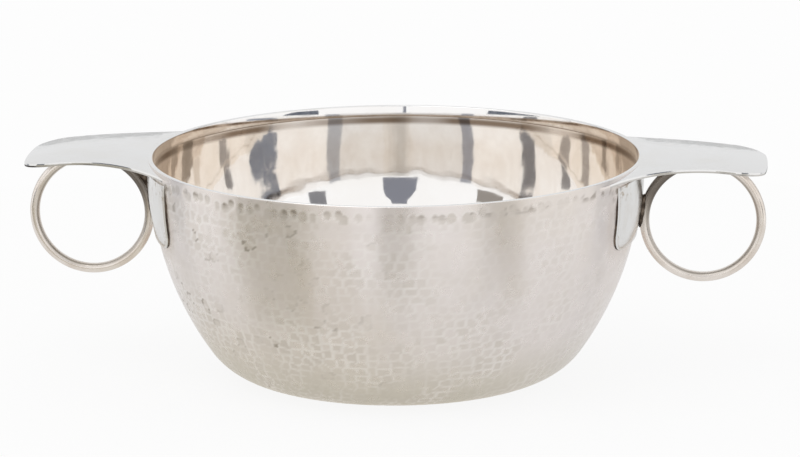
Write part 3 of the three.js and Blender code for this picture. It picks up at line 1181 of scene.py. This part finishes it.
def plain_stage(name, bm, material):
    mesh = bpy.data.meshes.new(name)
    bm.to_mesh(mesh)
    bm.free()
    mesh.materials.append(material)
    made = put_in_scene(name, mesh)
    return made


def table():
    """Pale and matt. The camera sees it as white as the room, with the cup's shadow kept light,
    and sees through it from below. What the silver mirrors is darker near the cup: a painted shadow."""
    material, tree, surface = stage_material("pale_table")
    soft = add_node(tree, "BsdfDiffuse")
    fill(soft.inputs["Color"], (TABLE_SHADING,) * 3)
    place = add_node(tree, "TexCoord").outputs["Object"]
    away = faded(from_place("DISTANCE", place, SHADE_MIDDLE), SHADE_START, SHADE_END)
    lit = TABLE_SHADING * TABLE_LIGHT
    near = tuple(tone - lit for tone in TABLE_SHADOW_UNDER_CUP)
    far = tuple(tone - lit for tone in TABLE_MIRRORED)
    by_camera = add_node(tree, "LightPath").outputs["Is Camera Ray"]
    tone = mixed(by_camera, mixed(away, near, far), (WHITE - lit,) * 3)
    both = add_node(tree, "AddShader")
    join(soft.outputs["BSDF"], both.inputs[0])
    join(glowing(tree, tone), both.inputs[1])
    below = add_node(tree, "NewGeometry").outputs["Backfacing"]
    join(mixed_shaders(below, both.outputs["Shader"], clear(tree)), surface)
    bm = bmesh.new()
    bmesh.ops.create_circle(bm, cap_ends=True, segments=96, radius=TABLE_RADIUS)
    plain_stage("table", bm, material)


def card(name, rows, tone, seen=ALWAYS):
    """A card that only the silver sees, in the mirrorings given. Each row is a distance, a height,
    and the angles where it starts and ends, in degrees from the front towards +X."""
    last = len(rows) - 1
    bm = bmesh.new()
    bmesh.ops.create_grid(bm, x_segments=CARD_STEPS, y_segments=last, size=0.5)
    for vert in bm.verts:
        distance, height, start, end = rows[round((vert.co.y + 0.5) * last)]
        turn = math.radians(start + (end - start) * (vert.co.x + 0.5))
        vert.co = (distance * math.sin(turn), -distance * math.cos(turn), height)
    material, tree, surface = stage_material(name)
    share = between_mirrorings(tree, *seen)
    join(mixed_shaders(share, clear(tree), glowing(tree, tone)), surface)
    made = plain_stage(name, bm, material)
    made.visible_camera = False
    made.visible_diffuse = False
    made.visible_shadow = False
    made.visible_transmission = False


def upright(*rows, distance=CARD_DISTANCE):
    """Rows of a standing card, given as angles above level, start and end."""
    return [(distance, distance * math.tan(math.radians(up)), start, end) for up, start, end in rows]


def panel(low, high, start, end, distance=CARD_DISTANCE):
    """Rows of a standing card with straight sides."""
    return upright((low, start, end), (high, start, end), distance=distance)


def lying(*rows):
    """Rows of a card that lies on the table, given as distance, start and end."""
    return [(distance, LYING_HEIGHT, start, end) for distance, start, end in rows]


def middle_cards():
    """The middle patch on the inside's floor, the band right of it and the mark on the rim."""
    card("card_camera", upright(
        (11, -6, 12), (15.5, -6, 12), (18, -4, 11), (20.2, -1.5, 7.5), (22.5, -1, 6.5)),
        CAMERA_CARD, FIRST)
    card("card_camera_again", upright(
        (12.2, 1, 9), (13, -2, 8.5), (14.4, -3, 7), (15.2, 1, 5)), FADED_CARD, SECOND)
    card("card_pole", panel(-20, 10, -0.3, 1.2), CAMERA_CARD)


def right_cards():
    """What makes the left bands inside, and the dark stretch of the rim there."""
    card("card_right_low", upright((-4, 43, 62), (2.8, 43, 62), (4.6, 43, 54)), DARK_CARD)
    card("card_right", upright((12.6, 47, 51), (13.8, 41.5, 51), (19.5, 41.5, 51)), HIGH_CARD, FIRST)
    card("card_right_again", upright(
        (9.5, 41, 58), (13.4, 41, 57), (14.4, 41.5, 55), (15.1, 42.5, 54)), HIGH_CARD, SECOND)
    card("card_right_third", panel(12.2, 14.7, 44, 60), FADED_CARD, THIRD)
    card("card_right_fourth", panel(12.2, 15, 54, 73), DEEP_CARD, FOURTH)
    card("card_right_far", panel(11.5, 18, 44, 70), DEEP_CARD, LATER)


def left_cards():
    """What makes the right bands inside, and the other dark stretch of the rim."""
    card("card_left_low", upright(
        (-4, -70, -40), (2.6, -70, -40.5), (3.1, -62, -41), (4.4, -46, -41.5)), DARK_CARD)
    card("card_left", panel(12.7, 17.8, -51, -38), WARM_CARD, FIRST)
    card("card_left_again", upright(
        (11.3, -58, -23), (13.2, -57, -23), (13.8, -56, -26), (14.15, -52, -28), (14.5, -44, -30)),
        COOL_CARD, SECOND)
    card("card_left_third", upright(
        (11.6, -91, -76), (13, -90, -74), (14.4, -86, -69), (15, -84, -68)), HIGH_CARD, THIRD)
    card("card_left_third_high", panel(20, 25, -91, -79), HIGH_CARD, THIRD)
    card("card_left_third_near", panel(12.4, 14.8, -24, -9), NEAR_CARD, THIRD)
    card("card_left_fourth", panel(12.4, 22, -76, -40), DEEP_CARD, FOURTH)
    card("card_left_far", panel(12.2, 19, -66, -38), DEEP_CARD, LATER)
    card("card_right_turn", upright(
        (11.6, 87, 106), (13.4, 84, 103), (14.5, 84, 100), (15.3, 86, 98)), FADED_CARD, THIRD)
    card("card_right_turn_high", panel(20, 24, 89, 106), HIGH_CARD, THIRD)


def room_cards():
    """The greyer sides and back of the room, and a soft streak low on the inside's far wall."""
    card("card_side_right", panel(-8, 40, 109, 121), RIGHT_SIDE, FIRST_TWO)
    card("card_side_left", panel(-20, 40, -121, -107), LEFT_SIDE, FIRST_TWO)
    card("card_back", panel(-20, 50, 121, 239), BACK)
    streak = ((169, 198, 0.78), (171, 193, 0.72), (174, 188, 0.66), (176, 184, 0.60))
    for step, (start, end, tone) in enumerate(streak):
        rows = panel(-20, 50, start, end, STREAK_DISTANCE - step * STREAK_GAP)
        card(f"card_streak_{step}", rows, tuple(tone * share for share in STREAK_TINT), SECOND)


def foot_cards():
    """What the outside mirrors low down: the cup's painted shadow on the table round its foot, and
    soft dark stretches of the room below.
    """
    card("shade_left", panel(-20, -4, -30, -14), LEFT_SHADE)
    card("shade_front", upright((-20, -4, 12), (-4, -3, 12)), FRONT_FOOT)
    card("shade_right", panel(-20, -4, 43, 58), RIGHT_FOOT)
    card("shade_far_left", panel(-20, -4, -73, -26), LEFT_FAR)
    card("foot_shadow_front", lying(
        (0.13, 2, 8), (0.15, -3, 11), (0.175, -2, 14), (0.215, -1, 18), (TABLE_RADIUS, -1, 19)),
        FRONT_FOOT)
    card("foot_shadow_right", lying((0.10, 46, 54), (0.13, 44, 57), (TABLE_RADIUS, 43, 59)), RIGHT_FOOT)
    card("foot_shadow_left", lying(
        (0.072, -46, -24), (0.10, -56, -26), (0.14, -65, -29), (0.16, -68, -28)), LEFT_FOOT)
    card("foot_shadow_far_left", lying(
        (0.16, -68, -28), (0.18, -73, -26), (TABLE_RADIUS, -73, -26)), LEFT_FAR)
    card("foot_left_shade", lying(
        (0.072, -24, -6), (0.10, -26, -9), (0.14, -29, -12), (TABLE_RADIUS, -30, -14)), LEFT_SHADE)


def lamp():
    data = bpy.data.lights.new("soft_box", "AREA")
    data.shape = "RECTANGLE"
    data.size, data.size_y = LAMP_SIZE
    data.energy = LAMP_POWER
    made = put_in_scene("soft_box", data)
    made.location = LAMP_PLACE
    made.rotation_mode = "QUATERNION"
    made.rotation_quaternion = (LAMP_TARGET - LAMP_PLACE).to_track_quat("-Z", "Y")


camera()
room()
table()
middle_cards()
right_cards()
left_cards()
room_cards()
foot_cards()
lamp()

scene = bpy.context.scene
scene.view_settings.view_transform = "Standard"
